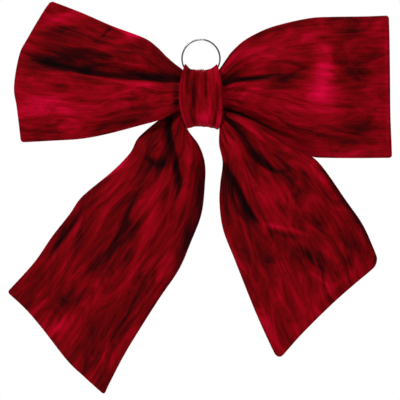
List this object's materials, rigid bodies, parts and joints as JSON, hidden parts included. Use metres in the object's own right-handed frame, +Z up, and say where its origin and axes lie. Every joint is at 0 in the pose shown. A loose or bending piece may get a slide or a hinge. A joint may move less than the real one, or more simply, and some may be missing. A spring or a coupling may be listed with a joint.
{
  "type": "pre-made gift bow",
  "caption": "Flat velvet gift bow with two pillow loops, two long slanted tails, a gathered knot band and a split ring behind the knot for hanging",
  "frame": {"origin": "centre of the flat back of the knot, where the bow rests on what it decorates", "axes": "+Z up as the bow hangs, +X to the viewer's right seen from the front, the bow's front faces -Y"},
  "size_m": [0.2872, 0.0307, 0.2951],
  "materials": {
    "velvet": "crushed velvet, deep crimson, streaky pile",
    "thread": "matt polyester sewing thread, dark crimson",
    "interlining": "plain non-woven interlining",
    "ring_metal": "nickel-plated steel wire"
  },
  "bodies": {
    "bow": {"knot_band": "velvet", "knot_closing_stitches": "thread", "loop_waist": "velvet", "tail_waist": "velvet", "loop_gather_thread": "thread", "tail_gather_thread": "thread"},
    "left_loop": {"left_loop_front_ply": "velvet", "left_loop_back_ply": "velvet", "left_loop_interlining": "interlining", "left_loop_seam_thread": "thread"},
    "right_loop": {"right_loop_front_ply": "velvet", "right_loop_back_ply": "velvet", "right_loop_interlining": "interlining", "right_loop_seam_thread": "thread"},
    "left_tail": {"left_tail_front_ply": "velvet", "left_tail_back_ply": "velvet", "left_tail_interlining": "interlining", "left_tail_seam_thread": "thread"},
    "right_tail": {"right_tail_front_ply": "velvet", "right_tail_back_ply": "velvet", "right_tail_interlining": "interlining", "right_tail_seam_thread": "thread"},
    "ring_thread": {"ring_thread_loops": "thread"},
    "ring": {"hanging_ring": "ring_metal"}
  },
  "joints": [
    {"name": "left_loop_flex", "type": "hinge", "parent": "bow", "child": "left_loop", "pos_m": [-0.0174, -0.015, 0.006], "axis": [0, 0, 1], "range_deg": [0, 25], "stiffness_Nm_per_rad": 0.002},
    {"name": "right_loop_flex", "type": "hinge", "parent": "bow", "child": "right_loop", "pos_m": [0.0174, -0.0075, 0.007], "axis": [0, 0, 1], "range_deg": [0, 20], "stiffness_Nm_per_rad": 0.002},
    {"name": "left_tail_swing", "type": "hinge", "parent": "bow", "child": "left_tail", "pos_m": [-0.0185, -0.007, -0.0225], "axis": [-0.8779, 0, 0.4789], "range_deg": [-25, 34]},
    {"name": "right_tail_swing", "type": "hinge", "parent": "bow", "child": "right_tail", "pos_m": [0.02255, -0.0188, -0.021], "axis": [-0.8729, 0, -0.4879], "range_deg": [0, 34]},
    {"name": "ring_swing", "type": "hinge", "parent": "bow", "child": "ring_thread", "pos_m": [0, 0.002, 0.0158], "axis": [-1, 0, 0], "range_deg": [-3, 170]},
    {"name": "ring_turn", "type": "hinge", "parent": "ring_thread", "child": "ring", "pos_m": [0, 0.002, 0.0302], "axis": [0, 1, 0], "continuous": true}
  ]
}
